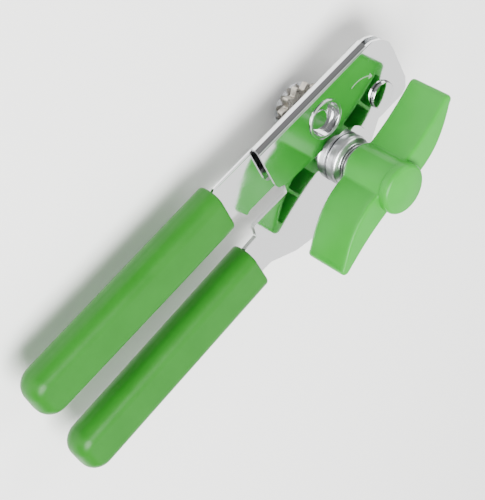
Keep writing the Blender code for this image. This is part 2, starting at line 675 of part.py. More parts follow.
# ---- assembly -------------------------------------------------------------------------------
def rest_on_origin():
    """Carry every piece by one empty so the whole sits on the origin, centred, base at zero."""
    carrier = bpy.data.objects.new("assembly", None)
    MODEL.objects.link(carrier)
    bpy.context.view_layer.update()
    graph = bpy.context.evaluated_depsgraph_get()
    low = Vector((1e9, 1e9, 1e9))
    high = -low
    for ob in MODEL.objects:
        if ob.type != "MESH":
            continue
        done = ob.evaluated_get(graph)
        for vertex in done.data.vertices:
            place = done.matrix_world @ vertex.co
            low = Vector(map(min, low, place))
            high = Vector(map(max, high, place))
    carrier.location = (-(low.x + high.x) / 2, -(low.y + high.y) / 2, -low.z)
    for ob in list(MODEL.objects) + list(CUTTERS.objects):
        if ob is not carrier:
            ob.parent = carrier


def build():
    global MODEL, CUTTERS
    clear_scene()
    MODEL = new_collection("can_opener")
    CUTTERS = new_collection("cutters")
    make_materials()
    make_folded_body()
    make_arm()
    make_grip("upper_grip", UPPER_GRIP_Y, (BACK_TOP + BACK_BOTTOM) / 2, UPPER_GRIP_TILT, SHEET)
    make_grip("lower_grip", LOWER_GRIP_Y, (ARM_TOP + ARM_BOTTOM) / 2, LOWER_GRIP_TILT, ARM)
    make_pivot()
    make_cup_and_axle()
    drive_phase, cutter_phase = mesh_phases()
    make_gear("cutter_gear", CUTTER, CUTTER_TEETH, cutter_phase, AXLE_R + 2 * GAP + BUSH_WALL)
    make_cutter_wheel()
    hex_nut("cutter_nut", AXLE_R + GAP, CUTTER_NUT_ACROSS, nut_bottom(), nut_top() + GAP, CUTTER)
    make_bearing()
    make_shaft()
    make_crank_washers()
    make_gear("drive_gear", CRANK, DRIVE_TEETH, drive_phase, SHAFT_R + GAP)
    make_feed_wheel()
    make_knob()
    make_cap()
    rest_on_origin()


build()
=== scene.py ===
import bpy
import bmesh
from math import atan2, cos, pi, radians, sin
from mathutils import Matrix, Vector


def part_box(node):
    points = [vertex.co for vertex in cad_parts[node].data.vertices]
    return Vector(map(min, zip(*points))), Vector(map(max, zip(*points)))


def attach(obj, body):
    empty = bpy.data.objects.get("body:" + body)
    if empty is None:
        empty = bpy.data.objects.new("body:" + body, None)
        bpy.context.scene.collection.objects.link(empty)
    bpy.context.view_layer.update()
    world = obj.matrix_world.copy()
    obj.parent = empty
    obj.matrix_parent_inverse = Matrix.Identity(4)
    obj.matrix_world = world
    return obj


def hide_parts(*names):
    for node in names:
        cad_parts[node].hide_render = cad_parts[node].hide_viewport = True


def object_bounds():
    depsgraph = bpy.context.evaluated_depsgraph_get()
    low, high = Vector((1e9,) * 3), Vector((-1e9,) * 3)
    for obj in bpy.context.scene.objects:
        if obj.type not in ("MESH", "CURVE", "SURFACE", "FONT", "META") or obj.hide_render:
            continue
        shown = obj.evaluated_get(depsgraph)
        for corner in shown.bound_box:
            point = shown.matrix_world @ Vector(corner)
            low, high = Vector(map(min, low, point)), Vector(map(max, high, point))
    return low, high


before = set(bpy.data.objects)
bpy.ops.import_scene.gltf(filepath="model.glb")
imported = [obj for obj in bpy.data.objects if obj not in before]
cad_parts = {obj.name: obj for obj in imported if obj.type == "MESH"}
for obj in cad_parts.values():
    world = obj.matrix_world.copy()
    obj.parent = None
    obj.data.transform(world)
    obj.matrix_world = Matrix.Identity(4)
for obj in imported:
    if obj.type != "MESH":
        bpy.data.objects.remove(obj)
cad_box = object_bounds()

# ---------------------------------------------------------------------------------------------
# FOLDED BODY. One pressed sheet of 1.2 mm steel, folded over a round mandrel so that the front
# plate and the upper handle face each other across a rolled spine, then bright chrome plated.
# The datum of every piece is the handle rivet in plan and the front plate's face in height.
# ---------------------------------------------------------------------------------------------
MM = 0.001


def middle_of(node):
    low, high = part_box(node)
    return (Vector(low) + Vector(high)) / 2


rivet_place = middle_of("pivot_rivet")
datum = Vector((rivet_place.x, rivet_place.y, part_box("folded_body")[1][2]))
cup_axis = (middle_of("cutter_cup") - datum) / MM
crank_axis = (middle_of("crank_shaft") - datum) / MM
cutter_axis = (middle_of("cutter_axle") - datum) / MM
CORNER_SHARE = 0.48


def on_circle(centre, radius, turn):
    return (centre[0] + radius * cos(turn), centre[1] + radius * sin(turn))


def arc(centre, radius, start, end, steps):
    return [on_circle(centre, radius, start + (end - start) * i / steps) for i in range(steps + 1)]


def circle(centre, radius, steps=96):
    return arc(centre, radius, 0.0, 2 * pi * (steps - 1) / steps, steps - 1)


def rounded(corners, steps=8):
    """Closed outline through (x, y, radius) corners, each rounded by its own radius."""
    outline = []
    count = len(corners)
    for i, (x, y, radius) in enumerate(corners):
        here = Vector((x, y))
        if radius == 0:
            outline.append((x, y))
            continue
        back = Vector(corners[i - 1][:2]) - here
        ahead = Vector(corners[(i + 1) % count][:2]) - here
        half = back.angle(ahead) / 2
        run = min(radius * cos(half) / sin(half),
                  CORNER_SHARE * back.length, CORNER_SHARE * ahead.length)
        radius = run * sin(half) / cos(half)
        back.normalize()
        ahead.normalize()
        centre = here + (back + ahead).normalized() * radius / sin(half)
        first = here + back * run - centre
        last = here + ahead * run - centre
        start = atan2(first.y, first.x)
        sweep = (atan2(last.y, last.x) - start + pi) % (2 * pi) - pi
        outline += arc(centre, radius, start, start + sweep, steps)
    return outline


def turn_about(point, centre, angle):
    x = point[0] - centre[0]
    y = point[1] - centre[1]
    return (centre[0] + x * cos(angle) - y * sin(angle), centre[1] + x * sin(angle) + y * cos(angle))


def new_piece(name, mesh):
    ob = bpy.data.objects.new(name, mesh)
    bpy.context.scene.collection.objects.link(ob)
    return ob


def blank(name, loops, low, high, place=(0.0, 0.0)):
    """A sheet blank in millimetres: closed loops (inner ones are holes) from low to high."""
    curve = bpy.data.curves.new(name, "CURVE")
    curve.dimensions = "2D"
    curve.fill_mode = "BOTH"
    curve.extrude = (high - low) / 2
    for loop in loops:
        spline = curve.splines.new("POLY")
        spline.points.add(len(loop) - 1)
        for point, (x, y) in zip(spline.points, loop):
            point.co = (x, y, 0.0, 1.0)
        spline.use_cyclic_u = True
    temp = bpy.data.objects.new(name, curve)
    mesh = bpy.data.meshes.new_from_object(temp)
    bpy.data.objects.remove(temp)
    mesh.transform(Matrix.Translation((place[0], place[1], (low + high) / 2)))
    tidy(mesh)
    return new_piece(name, mesh)


def tidy(mesh):
    bm = bmesh.new()
    bm.from_mesh(mesh)
    bmesh.ops.remove_doubles(bm, verts=bm.verts, dist=1e-4)
    bmesh.ops.dissolve_limit(bm, angle_limit=radians(0.2), verts=bm.verts, edges=bm.edges)
    bmesh.ops.recalc_face_normals(bm, faces=bm.faces)
    bm.to_mesh(mesh)
    bm.free()


def cut(ob, tool, operation="DIFFERENCE"):
    mod = ob.modifiers.new(tool.name, "BOOLEAN")
    mod.operation = operation
    mod.solver = "EXACT"
    mod.object = tool
    apply_all(ob)
    bpy.data.objects.remove(tool)


def apply_all(ob):
    bpy.context.view_layer.update()
    graph = bpy.context.evaluated_depsgraph_get()
    mesh = bpy.data.meshes.new_from_object(ob.evaluated_get(graph))
    ob.modifiers.clear()
    ob.data = mesh


def round_edges(ob, width, segments=3, angle=35.0, clamp=True):
    mod = ob.modifiers.new("edges", "BEVEL")
    mod.width = width
    mod.segments = segments
    mod.limit_method = "ANGLE"
    mod.angle_limit = radians(angle)
    mod.use_clamp_overlap = clamp


def finish_piece(ob, material, body, nodes, soft_angle=32.0):
    """Millimetres to the frame's metres, smooth shading, finish, body and CAD nodes it stands for."""
    if ob.modifiers:
        apply_all(ob)
    if ob.data.has_custom_normals:
        ob.data.attributes.remove(ob.data.attributes["custom_normal"])
    for face in ob.data.polygons:
        face.use_smooth = True
    ob.data.set_sharp_from_angle(angle=radians(soft_angle))
    flats = ob.modifiers.new("flats", "WEIGHTED_NORMAL")
    flats.weight = 80
    flats.keep_sharp = True
    apply_all(ob)
    ob.data.transform(Matrix.Translation(datum) @ Matrix.Scale(MM, 4))
    ob.data.materials.clear()
    ob.data.materials.append(material)
    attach(ob, body)
    if nodes:
        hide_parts(*nodes)
    return ob


def linear(code):
    """An sRGB hex colour as the linear values a shader takes."""
    channels = [int(code[i:i + 2], 16) / 255 for i in (0, 2, 4)]
    return tuple(c / 12.92 if c <= 0.04045 else ((c + 0.055) / 1.055) ** 2.4 for c in channels) + (1.0,)


def add_node(tree, kind, inputs, **settings):
    """One shader node with its settings; an input is a value or another node's output."""
    made = tree.nodes.new(kind)
    for name, value in settings.items():
        setattr(made, name, value)
    for name, value in inputs.items():
        socket = made.inputs[name]
        if isinstance(value, bpy.types.NodeSocket):
            tree.links.new(value, socket)
        else:
            socket.default_value = value
    return made


def start_material(name, color, metallic, roughness):
    """A material with its shader's plain values, and the object's own coordinates to work from."""
    material = bpy.data.materials.new(name)
    material.use_nodes = True
    tree = material.node_tree
    shader = tree.nodes["Principled BSDF"]
    shader.inputs["Base Color"].default_value = linear(color)
    shader.inputs["Metallic"].default_value = metallic
    shader.inputs["Roughness"].default_value = roughness
    place = add_node(tree, "ShaderNodeTexCoord", {})
    return material, tree, shader, place.outputs["Object"]


def vary(tree, vector, size_mm, low, high, detail=3.0, stretch=None):
    """Noise with features of size_mm, mapped from low to high."""
    if stretch:
        vector = add_node(tree, "ShaderNodeMapping", {"Vector": vector, "Scale": stretch}).outputs[0]
    noise = add_node(tree, "ShaderNodeTexNoise",
                     {"Vector": vector, "Scale": 1.0 / (size_mm * MM), "Detail": detail})
    spread = add_node(tree, "ShaderNodeMapRange", {
        "Value": noise.outputs[0], "From Min": 0.3, "From Max": 0.7, "To Min": low, "To Max": high})
    return spread.outputs[0]


def relief(tree, shader, height, depth_mm, under=None):
    """Bump from a 0 to 1 height, depth_mm deep, over any relief already made."""
    inputs = {"Height": height, "Distance": depth_mm * MM, "Strength": 1.0}
    if under:
        inputs["Normal"] = under
    bump = add_node(tree, "ShaderNodeBump", inputs)
    tree.links.new(bump.outputs[0], shader.inputs["Normal"])
    return bump.outputs[0]


# Decorative chromium over polished steel: a near mirror, with the faint waviness of the sheet,
# handling haze some 9 mm across and fine wiping scratches along the handle.
chrome_sheet, tree, shader, spot = start_material("chrome_plated_sheet", "E2E3E4", 1.0, 0.05)
haze = vary(tree, spot, 9.0, 0.035, 0.085)
scratches = vary(tree, spot, 0.35, 0.0, 1.0, 2.0, (0.03, 1.0, 1.0))
mixed = add_node(tree, "ShaderNodeMath", {0: scratches, 1: 0.035}, operation="MULTIPLY")
rough = add_node(tree, "ShaderNodeMath", {0: haze, 1: mixed.outputs[0]}, operation="ADD")
tree.links.new(rough.outputs[0], shader.inputs["Roughness"])
wavy = relief(tree, shader, vary(tree, spot, 14.0, 0.0, 1.0, 1.0), 0.012)
relief(tree, shader, scratches, 0.0002, wavy)

SHEET = 1.2
FOLD_DEPTH = 5.2
ROLL_R = FOLD_DEPTH / 2
SPINE_Y = 27.0
BODY_LEFT = -62.4
ROLL_RIGHT = 1.6
BOSS_NOTCH = 14.7
GRIP_START = -86.0
TANG_LEN = 92.0
TANG_HALF = 7.5
UPPER_GRIP_Y = 18.5
UPPER_GRIP_TILT = radians(1.2)
PLATE_REACH = 41.0
BLANK_LEFT = -192.0
BLANK_RIGHT = 16.4
BEAD_DEPTH = 0.16
RIVET_HOLE_R = 3.3
CUP_HOLE_R = 8.3
AXLE_HOLE_R = 2.7
BODY_EDGE = 0.22


def tang_corners(centre_y, tilt):
    """Corners of the strip that runs inside a grip, lower near one first."""
    near = GRIP_START - 4.0
    far = GRIP_START - TANG_LEN
    corners = [(near, centre_y - TANG_HALF), (far, centre_y - TANG_HALF),
               (far, centre_y + TANG_HALF), (near, centre_y + TANG_HALF)]
    return [turn_about(p, (GRIP_START, centre_y), tilt) for p in corners]


low_near, low_far, high_far, high_near = tang_corners(UPPER_GRIP_Y, UPPER_GRIP_TILT)
tail_y = SPINE_Y + 1.6
notch = arc(crank_axis, BOSS_NOTCH, radians(70), radians(12), 40)
body_plan = rounded([
    (ROLL_RIGHT, SPINE_Y + 4, 0), (BODY_LEFT - 0.3, SPINE_Y + 4, 0), (BODY_LEFT - 0.3, tail_y, 0),
    (GRIP_START + 2, tail_y, 1.5), (GRIP_START, tail_y - 1.6, 0), (*high_near, 0), (*high_far, 2),
    (*low_far, 2), (*low_near, 0), (GRIP_START, 8.8, 1), (-79.6, 8.0, 1.2), (-77.0, 2.6, 1.2),
    (-75.4, 3.8, 1.2), (-58.0, 3.6, 0), *[(x, y, 0) for x, y in notch],
    (-9.0, -10.0, 0), (9.5, -10.0, 2), (12.6, -8.4, 2), (14.4, -3.5, 2.5), (13.6, 14.5, 4),
    (13.0, 19.0, 4), (9.6, 24.0, 4), (5.6, 26.6, 3), (ROLL_RIGHT, 27.3, 0)])

# The bent sheet seen from its end; a fine bead line marks where the roll leaves the flat.
inner_r = ROLL_R - SHEET
bead_floor = ROLL_R - BEAD_DEPTH
section = [(-PLATE_REACH, -ROLL_R)] + arc((0, 0), ROLL_R, -pi / 2, pi / 2 - 0.12, 40)
section += [(-0.12, bead_floor), (-0.30, bead_floor), (-0.55, ROLL_R), (-PLATE_REACH, ROLL_R)]
section += [(-PLATE_REACH, inner_r)] + arc((0, 0), inner_r, pi / 2, -pi / 2, 28)
section += [(-PLATE_REACH, -inner_r)]
folded = blank("folded_steel_body", [section], BLANK_LEFT, BLANK_RIGHT)
folded.data.transform(Matrix(((0, 0, 1, 0), (1, 0, 0, SPINE_Y), (0, 1, 0, -ROLL_R), (0, 0, 0, 1))))
cut(folded, blank("plan", [body_plan, circle((0, 0), RIVET_HOLE_R, 64)], -12.0, 6.0), "INTERSECT")
front_edge = rounded([
    (-300, -60, 0), (BODY_LEFT + 5.0, -60, 0), (BODY_LEFT + 5.0, 2.6, 0), (BODY_LEFT + 4.4, 4.0, 1.5),
    (BODY_LEFT + 1.4, 5.4, 2.2), (BODY_LEFT + 0.6, 8.0, 2.2), (BODY_LEFT, SPINE_Y, 0),
    (BODY_LEFT, 60, 0), (-300, 60, 0)])
cut(folded, blank("front_edge", [front_edge], SHEET - FOLD_DEPTH + 0.1, 6.0))
cut(folded, blank("cup_hole", [circle((0, 0), CUP_HOLE_R)], -ROLL_R, 6.0, cup_axis))
cut(folded, blank("axle_hole", [circle((0, 0), AXLE_HOLE_R, 64)], -12.0, -ROLL_R, cutter_axis))
round_edges(folded, BODY_EDGE, 2, 50)
finish_piece(folded, chrome_sheet, "handle_a", ["folded_body"])

# ---------------------------------------------------------------------------------------------
# TURN ARROW. A shallow curved arrow etched into the front plate, showing the way to turn the
# crank. Acid etching leaves the chrome a pale, fine matt grey.
# ---------------------------------------------------------------------------------------------
etched, tree, shader, spot = start_material("acid_etched_chrome", "D4D8D2", 1.0, 0.42)
tree.links.new(vary(tree, spot, 0.4, 0.36, 0.55), shader.inputs["Roughness"])
relief(tree, shader, vary(tree, spot, 0.12, 0.0, 1.0), 0.004)
ARROW_CENTRE = (-9.3, 4.9)
ARROW_R = 11.2
ARROW_HALF = 0.25
ARROW_BARB = 1.3
ARROW_BED = -0.02
tail, neck, barb, point = (radians(turn) for turn in (104, 46, 49, 39))
band = arc(ARROW_CENTRE, ARROW_R + ARROW_HALF, tail, neck, 28)
band += arc(ARROW_CENTRE, ARROW_R - ARROW_HALF, neck, tail, 28)
arrow = blank("turn_arrow", [band], ARROW_BED, 0.012)
head = [on_circle(ARROW_CENTRE, ARROW_R, point), on_circle(ARROW_CENTRE, ARROW_R + ARROW_BARB, barb),
        on_circle(ARROW_CENTRE, ARROW_R - ARROW_BARB, barb)]
head_piece = blank("turn_arrow_head", [head], ARROW_BED, 0.0125)
for mark in (arrow, head_piece):
    finish_piece(mark, etched, "handle_a", [])

# ---------------------------------------------------------------------------------------------
# UPPER GRIP. A moulded soft vinyl sleeve pushed over the upper handle's tang: a flat-topped
# oblong with well rounded sides, a round far end and a trimmed, eased near end.
# ---------------------------------------------------------------------------------------------
GRIP_LEN = 106.0
GRIP_HALF = 11.8
GRIP_THICK = 13.5
GRIP_END_R = 8.5
GRIP_ROUND = 6.1
GRIP_TRIM_EDGE = 1.5
TRIM_OVER = 12.0
POCKET_HALF = 11.0
POCKET_DEEP = 4.5
TANG_GAP = 0.3
SLOT_GAP = 0.25


def let_light_in(shader, ior, gloss, share, spread, depth):
    """A plastic's surface reflection, and the light that soaks in below it."""
    shader.inputs["IOR"].default_value = ior
    shader.inputs["Specular IOR Level"].default_value = gloss
    shader.inputs["Subsurface Weight"].default_value = share
    shader.inputs["Subsurface Radius"].default_value = spread
    shader.inputs["Subsurface Scale"].default_value = depth


def two_tone(tree, shader, share, first, second):
    """Base colour that drifts between two hex colours."""
    mix = add_node(tree, "ShaderNodeMix", {
        "Factor": share, "A": linear(first), "B": linear(second)}, data_type="RGBA")
    tree.links.new(mix.outputs["Result"], shader.inputs["Base Color"])


# Plasticised vinyl, satin from the mould: mid green, a little light let in, a leathery grain of
# about 0.4 mm that only shows in the highlights, and a duller patch where the hand rubs.
soft_green, tree, shader, spot = start_material("moulded_vinyl_grip", "216819", 0.0, 0.42)
let_light_in(shader, 1.52, 0.18, 0.12, (0.5, 1.0, 0.3), 0.0015)
two_tone(tree, shader, vary(tree, spot, 16.0, 0.0, 1.0), "1F6517", "236B1B")
tree.links.new(vary(tree, spot, 22.0, 0.32, 0.46), shader.inputs["Roughness"])
soft = relief(tree, shader, vary(tree, spot, 7.0, 0.0, 1.0, 1.0), 0.03)
relief(tree, shader, vary(tree, spot, 0.45, 0.0, 1.0, 2.0), 0.004, soft)


def sleeve(name, centre_y, centre_z, tilt, metal):
    """The oblong sleeve: rounded all round, squared at its near end, with the tang's slot."""
    far = GRIP_START - GRIP_LEN
    near = GRIP_START + TRIM_OVER
    low = centre_y - GRIP_HALF
    high = centre_y + GRIP_HALF

    def laid(corners):
        return [turn_about(p, (GRIP_START, centre_y), tilt) for p in corners]

    plan = rounded([(near, low, 0), (near, high, 0), (far, high, GRIP_END_R), (far, low, GRIP_END_R)], 20)
    bottom = centre_z - GRIP_THICK / 2
    ob = blank(name, [laid(plan)], bottom, bottom + GRIP_THICK)
    round_edges(ob, GRIP_ROUND, 16, 35, clamp=False)
    apply_all(ob)
    square = [(GRIP_START, -80), (GRIP_START + 60, -80), (GRIP_START + 60, 80), (GRIP_START, 80)]
    cut(ob, blank("trim", [laid(square)], -40.0, 40.0))
    round_edges(ob, GRIP_TRIM_EDGE, 6, 50)
    apply_all(ob)
    mouth = GRIP_START - POCKET_DEEP
    past = GRIP_START + 5
    deep = GRIP_START - TANG_LEN - TANG_GAP
    half = TANG_HALF + TANG_GAP
    slot = [(deep, centre_y - half), (mouth, centre_y - half), (mouth, centre_y - POCKET_HALF),
            (past, centre_y - POCKET_HALF), (past, centre_y + POCKET_HALF),
            (mouth, centre_y + POCKET_HALF), (mouth, centre_y + half), (deep, centre_y + half)]
    depth = metal / 2 + SLOT_GAP
    cut(ob, blank("slot", [laid(slot)], centre_z - depth, centre_z + depth))
    return ob


upper_grip = sleeve("upper_grip_sleeve", UPPER_GRIP_Y, SHEET / 2 - FOLD_DEPTH, UPPER_GRIP_TILT, SHEET)
finish_piece(upper_grip, soft_green, "handle_a", ["upper_grip"], 30)

# ---------------------------------------------------------------------------------------------
# HANDLE RIVET AND WASHER. A turned steel rivet with a raised flat disc head, closed over a plain
# washer behind the plates. It is the hinge of the two handles.
# ---------------------------------------------------------------------------------------------


def turned(name, profile, axis, steps=128):
    """Turn a profile of (radius, height) points, in mm, about an upright axis, top point first."""
    rings = []
    bm = bmesh.new()
    for radius, height in profile:
        places = circle(axis, radius, steps) if radius > 0 else [(axis[0], axis[1])]
        rings.append([bm.verts.new((x, y, height)) for x, y in places])
    for upper, lower in zip(rings, rings[1:]):
        for i in range(steps):
            j = (i + 1) % steps
            corners = [upper[i % len(upper)], lower[i % len(lower)],
                       lower[j % len(lower)], upper[j % len(upper)]]
            kept = [v for k, v in enumerate(corners) if v not in corners[:k]]
            if len(kept) > 2:
                bm.faces.new(kept)
    bmesh.ops.recalc_face_normals(bm, faces=bm.faces)
    mesh = bpy.data.meshes.new(name)
    bm.to_mesh(mesh)
    bm.free()
    return new_piece(name, mesh)


def eased(points, steps=5):
    """A turned profile of (radius, height, corner radius) points with its corners rounded."""
    profile = [points[0][:2]]
    for before, here, after in zip(points, points[1:], points[2:]):
        if here[2] == 0:
            profile.append(here[:2])
            continue
        corner = Vector(here[:2])
        back = Vector(before[:2]) - corner
        ahead = Vector(after[:2]) - corner
        run = min(here[2], CORNER_SHARE * back.length, CORNER_SHARE * ahead.length)
        start = corner + back.normalized() * run
        end = corner + ahead.normalized() * run
        for i in range(steps + 1):
            t = i / steps
            profile.append(tuple(start * (1 - t) ** 2 + corner * 2 * t * (1 - t) + end * t * t))
    return profile + [points[-1][:2]]


def turned_metal(name, color, rough_low, rough_high, axis, groove_mm, groove_depth):
    """Machined metal: fine rings about an axis, with a little haze."""
    material, tree, shader, spot = start_material(name, color, 1.0, rough_low)
    centre = datum + Vector((axis[0], axis[1], 0.0)) * MM
    shift = add_node(tree, "ShaderNodeVectorMath", {0: spot, 1: tuple(-centre)})
    flat = add_node(tree, "ShaderNodeVectorMath", {
        0: shift.outputs[0], 1: (1.0, 1.0, 0.0)}, operation="MULTIPLY")
    far = add_node(tree, "ShaderNodeVectorMath", {0: flat.outputs[0]}, operation="LENGTH")
    apart = add_node(tree, "ShaderNodeSeparateXYZ", {"Vector": shift.outputs[0]})
    both = add_node(tree, "ShaderNodeMath", {0: far.outputs["Value"], 1: apart.outputs["Z"]}, operation="ADD")
    rings = add_node(tree, "ShaderNodeTexNoise", {
        "W": both.outputs[0], "Scale": 1.0 / (groove_mm * MM), "Detail": 2.0}, noise_dimensions="1D")
    soft = vary(tree, spot, 5.0, rough_low, rough_high)
    tree.links.new(soft, shader.inputs["Roughness"])
    relief(tree, shader, rings.outputs[0], groove_depth)
    return material


# Turned and chromed: mirror bright, with rings about 0.12 mm apart left by the tool.
PIVOT = (0.0, 0.0)
TOOL_PITCH = 0.12
rivet_chrome = turned_metal("turned_chrome_rivet", "DEDFE0", 0.06, 0.12, PIVOT, TOOL_PITCH, 0.0006)
rivet = turned("pivot_rivet_head", eased([
    (0.0, 1.9, 0), (2.2, 1.87, 0), (4.2, 1.78, 0), (5.9, 1.6, 0.25), (6.1, 1.15, 0.2), (6.3, 0.3, 0.2),
    (3.0, 0.3, 0), (3.0, -6.6, 0),
    (5.4, -6.6, 0.2), (5.3, -7.6, 0.7), (3.4, -8.1, 0.5), (0.0, -8.1, 0)]), PIVOT)
finish_piece(rivet, rivet_chrome, "handle_a", ["pivot_rivet"])

# Bright zinc on pressed steel: soft silver, cloudy at 3 mm, with the tumbling marks of the bath.
zinc, tree, shader, spot = start_material("bright_zinc_plate", "B9BABC", 1.0, 0.3)
tree.links.new(vary(tree, spot, 3.0, 0.22, 0.42), shader.inputs["Roughness"])
two_tone(tree, shader, vary(tree, spot, 2.2, 0.0, 1.0), "A9AAAD", "C4C4C4")
relief(tree, shader, vary(tree, spot, 0.5, 0.0, 1.0), 0.0025)


def washer(name, inner, outer, low, high, axis, body, node, edge=0.15):
    """A stamped ring with eased edges."""
    middle = (low + high) / 2
    profile = eased([(inner, middle, 0), (inner, high, edge / 2), (outer, high, edge),
                     (outer, low, edge), (inner, low, edge / 2), (inner, middle, 0)])
    return finish_piece(turned(name, profile, axis, 96), zinc, body, [node])


washer("rivet_washer", RIVET_HOLE_R, 6.7, -6.3, -5.5, PIVOT, "handle_a", "pivot_washer")

# ---------------------------------------------------------------------------------------------
# CUTTER CUP, AXLE, SPACER AND NUT. A drawn chrome cup is pressed into the front plate; the axle
# stands on its floor and runs back through a spacer to the cutter, held by a nut.
# ---------------------------------------------------------------------------------------------


def height_span(node):
    """Lowest and highest point of a CAD node from the front plate's face, in mm."""
    low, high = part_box(node)
    return low[2] / MM - datum.z / MM, high[2] / MM - datum.z / MM


# Chrome over drawn steel: bright, a touch hazy where the metal stretched round the wall.
cup_chrome = turned_metal("drawn_chrome_cup", "E0E1E2", 0.1, 0.14, cup_axis, 0.3, 0.0002)
cup = turned("cutter_cup_pressing", eased([
    (0.0, -3.0, 0), (7.0, -3.0, 0.1), (7.15, -2.75, 0.1), (7.35, -2.55, 0.1), (7.35, 0.35, 0.2),
    (8.0, 0.55, 0.3), (8.75, 0.35, 0.2), (8.8, 0.15, 0.05), (8.0, 0.1, 0), (8.0, -3.7, 0.3),
    (0.0, -3.7, 0)]), cup_axis)
finish_piece(cup, cup_chrome, "handle_a", ["cutter_cup"])
# Chrome over turned steel, with the same tool rings as the rivet.
axle_chrome = turned_metal("turned_chrome_axle", "DADBDC", 0.06, 0.14, cutter_axis, TOOL_PITCH, 0.0006)
axle_low, axle_high = height_span("cutter_axle")
axle = turned("cutter_axle_pin", eased([
    (0.0, axle_high, 0), (4.2, axle_high, 0.15), (4.4, -2.7, 0), (2.4, -2.7, 0),
    (2.4, axle_low, 0.4), (0.0, axle_low, 0)]), cutter_axis, 96)
finish_piece(axle, axle_chrome, "handle_a", ["cutter_axle"])
washer("cutter_spacer_tube", AXLE_HOLE_R, 6.0, -10.6, -5.5, cutter_axis, "handle_a", "cutter_spacer", 0.4)
washer("cutter_thrust_washer", AXLE_HOLE_R, 7.0, -11.7, -10.9, cutter_axis, "handle_a", "cutter_washer")


def hex_nut(name, node, hole, across, axis, body):
    """A hexagon nut with its corners turned off at top and bottom."""
    low, high = height_span(node)
    flat = across / 2
    corner = flat / cos(pi / 6)
    wide = corner + 0.4
    hexagon = circle((0, 0), corner, 6)
    nut = blank(name, [hexagon, circle((0, 0), hole, 48)], low, high, axis)
    crown = turned(name + "_crown", [(0.0, high + 0.2), (flat, high + 0.2), (wide, high - 0.8),
                                     (wide, low + 0.8), (flat, low - 0.2), (0.0, low - 0.2)], axis)
    cut(nut, crown, "INTERSECT")
    round_edges(nut, 0.1, 2, 25)
    return finish_piece(nut, zinc, body, [node], 20)


hex_nut("cutter_hex_nut", "cutter_nut", AXLE_HOLE_R, 8.0, cutter_axis, "handle_a")

# ---------------------------------------------------------------------------------------------
# LOWER HANDLE PLATE. A flat 2 mm steel pressing between the two leaves of the folded body. Its
# round eye turns on the rivet and it carries the crank's boss.
# ---------------------------------------------------------------------------------------------
ARM_TOP = -1.6
ARM_BOTTOM = -3.6
LOWER_GRIP_Y = -18.7
LOWER_GRIP_TILT = radians(3.0)
ARM_EYE_R = 9.6
ARM_EDGE = 0.25
BEARING_R = 4.6
low_near, low_far, high_far, high_near = tang_corners(LOWER_GRIP_Y, LOWER_GRIP_TILT)
eye = arc(PIVOT, ARM_EYE_R, radians(-100), radians(105), 48)
arm_plan = rounded([
    (*high_near, 0), (*high_far, 2), (*low_far, 2), (*low_near, 0), (GRIP_START, -26.0, 1),
    (-78.6, -26.0, 3), (-66.0, -33.0, 9), (-52.0, -36.5, 8), (-30.0, -29.0, 12), (-14.0, -21.0, 8),
    *[(x, y, 0) for x, y in eye], (-12.0, 3.6, 3), (-57.4, 3.2, 2), (-57.8, -2.4, 1.2),
    (-78.0, -2.0, 1.2), (-79.0, -7.8, 1.2), (GRIP_START, -8.4, 1)], 10)
arm_holes = [circle(PIVOT, RIVET_HOLE_R, 64), circle(crank_axis, BEARING_R, 64)]
arm = blank("lower_handle_pressing", [arm_plan, *arm_holes], ARM_BOTTOM, ARM_TOP)
round_edges(arm, ARM_EDGE, 2, 50)
finish_piece(arm, chrome_sheet, "handle_b", ["lower_handle_plate"])

# ---------------------------------------------------------------------------------------------
# LOWER GRIP. The same vinyl sleeve on the lower handle's tang.
# ---------------------------------------------------------------------------------------------
arm_middle = (ARM_TOP + ARM_BOTTOM) / 2
lower_grip = sleeve("lower_grip_sleeve", LOWER_GRIP_Y, arm_middle, LOWER_GRIP_TILT, ARM_TOP - ARM_BOTTOM)
finish_piece(lower_grip, soft_green, "handle_b", ["lower_grip"], 30)

# ---------------------------------------------------------------------------------------------
# CRANK BOSS, REAR BEARING AND BUSH. A turned and chromed flange on the lower handle with a
# brushed band and a hollow neck, a steel bearing behind it, and a bronze bush through both.
# ---------------------------------------------------------------------------------------------
# Satin chrome over a turned and brushed flange, with rings about 0.25 mm apart.
boss_chrome = turned_metal("turned_chrome_boss", "CFD0D1", 0.3, 0.36, crank_axis, 0.25, 0.0003)
boss = turned("crank_boss", eased([
    (BEARING_R, 0.2, 0), (BEARING_R, 4.4, 0), (8.5, 4.4, 0.2), (8.8, 4.1, 0.15), (10.7, 3.3, 0.9),
    (11.2, 2.2, 0.8), (11.2, -0.6, 0.1), (10.95, -0.75, 0.1), (10.95, -1.3, 0.2), (BEARING_R, -1.3, 0),
    (BEARING_R, 0.2, 0)], 8), crank_axis, 160)
finish_piece(boss, boss_chrome, "handle_b", ["crank_bearing"])
washer("rear_bearing_tube", BEARING_R, 7.5, -11.4, -3.9, crank_axis, "handle_b", "rear_bearing", 0.5)

# Oil-filled sintered bronze: matt brown gold, speckled by its pores at about 0.15 mm.
bronze, tree, shader, spot = start_material("sintered_bronze", "B08A55", 1.0, 0.45)
pores = vary(tree, spot, 0.15, 0.0, 1.0)
two_tone(tree, shader, pores, "8A6638", "BC9560")
relief(tree, shader, pores, 0.01)


def bush(name, node, inner, outer, axis, body):
    """A plain bearing tube with its mouths eased."""
    low, high = height_span(node)
    middle = (low + high) / 2
    profile = eased([(inner, middle, 0), (inner, high, 0.1), (outer, high, 0.1),
                     (outer, low, 0.1), (inner, low, 0.1), (inner, middle, 0)])
    return finish_piece(turned(name, profile, axis, 64), bronze, body, [node])


SHAFT_HOLE_R = 3.3
bush("crank_bush_tube", "crank_bush", SHAFT_HOLE_R, 4.25, crank_axis, "handle_b")

